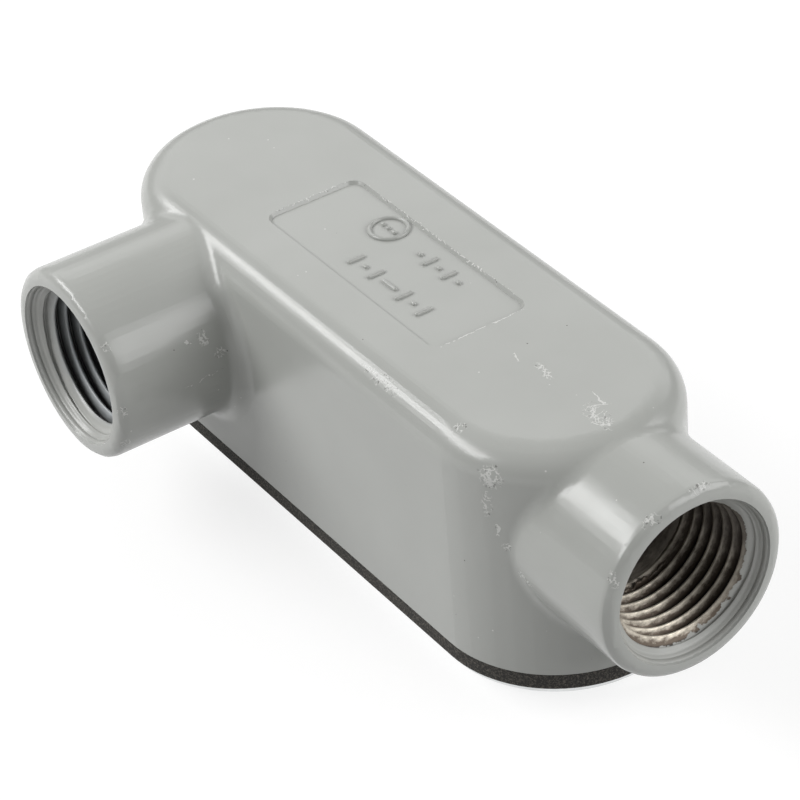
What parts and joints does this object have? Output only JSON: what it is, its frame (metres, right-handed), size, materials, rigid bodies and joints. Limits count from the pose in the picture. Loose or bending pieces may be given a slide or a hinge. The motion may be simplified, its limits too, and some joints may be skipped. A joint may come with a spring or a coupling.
{
  "type": "conduit body",
  "caption": "Die-cast conduit body for threaded conduit: an obround wiring box with an end hub and a left side hub, closed by a gasketed, screwed-on cover.",
  "frame": {"origin": "middle of the cover's raised field, on the surface that it rests on, level with the middle of the body between its two round ends", "axes": "+X along the body towards the end hub, -Y out of the side hub, +Z from the cover up to the back"},
  "size_m": [0.1119, 0.0534, 0.0393],
  "materials": {
    "housing_enamel": "satin gray baked enamel on die-cast aluminium",
    "gasket_composition": "matte black composition sheet with brown specks",
    "cover_sheet": "bright stamped sheet",
    "screw_steel": "zinc-plated steel"
  },
  "bodies": {
    "root": {"housing": "housing_enamel", "cover_gasket": "gasket_composition", "cover": "cover_sheet", "cover_screw_hub_end": "screw_steel", "cover_screw_blind_end": "screw_steel"}
  },
  "joints": []
}
